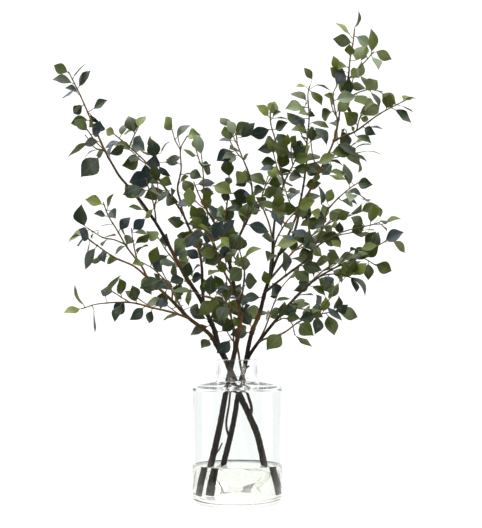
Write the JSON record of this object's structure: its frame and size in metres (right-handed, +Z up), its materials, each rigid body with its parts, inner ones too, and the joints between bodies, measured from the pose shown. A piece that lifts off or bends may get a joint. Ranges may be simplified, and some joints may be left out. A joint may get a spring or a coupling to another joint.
{
  "type": "camellia branches in a vase",
  "caption": "Leafy cut camellia branches fanning out of a clear glass bottle vase that is part filled with water.",
  "frame": {"origin": "middle of the vase's flat underside, on the surface that it stands on", "axes": "+Z up along the vase's axis; +X to the right of someone who faces the spray; +Y away from them"},
  "size_m": [0.6176, 0.3115, 0.8418],
  "materials": {
    "glass": "clear blown glass, polished",
    "water": "still water, clear and faintly warm",
    "branch": "brown bark and satin dark green leaves"
  },
  "bodies": {
    "root": {"vase": "glass", "water": "water", "branch_left": "branch", "branch_centre": "branch", "branch_right": "branch"}
  },
  "joints": []
}
